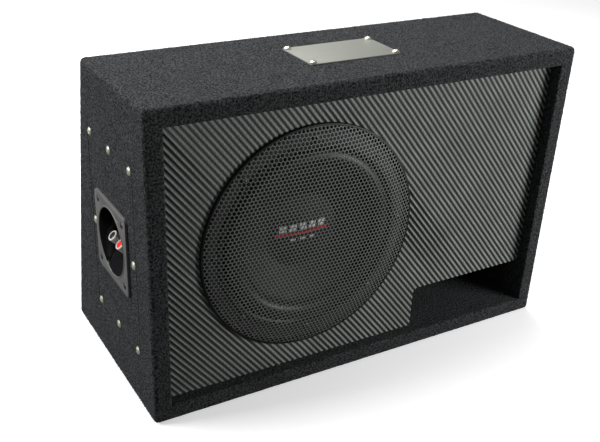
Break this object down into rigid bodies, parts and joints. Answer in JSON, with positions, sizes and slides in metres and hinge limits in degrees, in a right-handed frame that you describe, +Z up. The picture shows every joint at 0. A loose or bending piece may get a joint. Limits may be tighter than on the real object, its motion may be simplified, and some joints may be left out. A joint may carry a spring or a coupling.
{
  "type": "car subwoofer",
  "caption": "Carpeted wedge cabinet with a round perforated grille over a low-profile driver, a slot port and a screwed side panel with a terminal cup.",
  "frame": {"origin": "middle of the base, on the ground, below the middle of the cabinet's width and of its depth at the base", "axes": "+X to the right seen from the front, towards the port side; +Y towards the leaning back; +Z up"},
  "size_m": [0.554, 0.265, 0.3723],
  "materials": {
    "mdf": "raw cut board",
    "pine": "planed softwood",
    "carpet": "speckled charcoal short-pile carpet",
    "ribbed_vinyl": "diagonally ribbed satin vinyl",
    "foam": "closed-cell foam",
    "zinc_screw": "olive passivated zinc",
    "black_screw": "black oxide",
    "cup_plastic": "moulded black plastic, satin flange and glossy dish",
    "nickel": "bright nickel plate",
    "brass": "plain",
    "red_plastic": "gloss",
    "black_plastic": "gloss",
    "red_wire": "flexible insulation",
    "black_wire": "flexible insulation",
    "basket_paint": "black textured paint on a casting",
    "plated_steel": "dark zinc plate",
    "ferrite": "ground ferrite",
    "cone_pulp": "pressed pulp, matt",
    "surround_rubber": "smooth rubber",
    "spider_cloth": "resin-stiffened woven cloth",
    "former_aluminium": "foil",
    "copper": "enamelled copper wire",
    "tinsel": "braided",
    "grille_steel": "powder-coated perforated sheet",
    "ring_plastic": "moulded",
    "badge_aluminium": "brushed and lacquered"
  },
  "bodies": {
    "enclosure": {"left_side_panel": "mdf", "right_side_panel": "mdf", "top_panel": "mdf", "bottom_panel": "mdf", "back_panel": "mdf", "baffle": "mdf", "baffle_skin": "ribbed_vinyl", "port_shelf": "mdf", "port_side": "mdf", "port_lining": "carpet", "baffle_battens": "pine", "top_carpet": "carpet", "bottom_carpet": "carpet", "left_carpet": "carpet", "right_carpet": "carpet", "back_carpet": "carpet", "front_edge_carpet": "carpet", "access_panel": "mdf", "access_carpet": "carpet", "access_gasket": "foam", "access_battens": "pine", "access_screws": "zinc_screw", "terminal_cup": "cup_plastic", "terminal_gasket": "foam", "terminal_screws": "black_screw", "black_stud": "nickel", "red_stud": "nickel", "black_bush": "black_plastic", "red_bush": "red_plastic", "post_nuts": "nickel", "solder_tabs": "brass", "black_lead": "black_wire", "red_lead": "red_wire", "basket": "basket_paint", "basket_gasket": "foam", "trim_ring": "surround_rubber", "top_plate": "plated_steel", "magnet": "ferrite", "yoke": "plated_steel", "driver_terminals": "black_plastic", "driver_screws": "black_screw", "surround": "surround_rubber", "spider": "spider_cloth", "tinsel_leads": "tinsel", "grille": "grille_steel", "grille_ring": "ring_plastic", "badge_plate": "badge_aluminium", "badge_screws": "nickel"},
    "cone_assembly": {"cone": "cone_pulp", "dust_cap": "cone_pulp", "coil_former": "former_aluminium", "voice_coil": "copper"},
    "black_clamp": {"black_washer": "nickel"},
    "black_knob": {"black_cap": "nickel", "black_insert": "black_plastic"},
    "red_clamp": {"red_washer": "nickel"},
    "red_knob": {"red_cap": "nickel", "red_insert": "red_plastic"}
  },
  "joints": [
    {"name": "cone_travel", "type": "slide", "parent": "enclosure", "child": "cone_assembly", "axis": [0, -1, 0], "range_m": [-0.008, 0.008], "stiffness_N_per_m": 3000, "deforming": ["surround", "spider", "tinsel_leads"]},
    {"name": "black_clamp_travel", "type": "slide", "parent": "enclosure", "child": "black_clamp", "axis": [-0.7071, 0, 0.7071], "range_m": [-0.003, 0.003]},
    {"name": "black_cap_turn", "type": "hinge", "parent": "black_clamp", "child": "black_knob", "pos_m": [-0.26753, -0.0165, 0.17893], "axis": [-0.7071, 0, 0.7071], "range_deg": [-1080, 1080]},
    {"name": "red_clamp_travel", "type": "slide", "parent": "enclosure", "child": "red_clamp", "axis": [-0.7071, 0, 0.7071], "range_m": [-0.003, 0.003]},
    {"name": "red_cap_turn", "type": "hinge", "parent": "red_clamp", "child": "red_knob", "pos_m": [-0.26753, -0.0395, 0.17893], "axis": [-0.7071, 0, 0.7071], "range_deg": [-1080, 1080]}
  ],
  "couplings": [
    {"joint": "black_cap_turn", "follows": "black_clamp_travel", "rad_per_m": 6283.2},
    {"joint": "red_cap_turn", "follows": "red_clamp_travel", "rad_per_m": 6283.2}
  ]
}
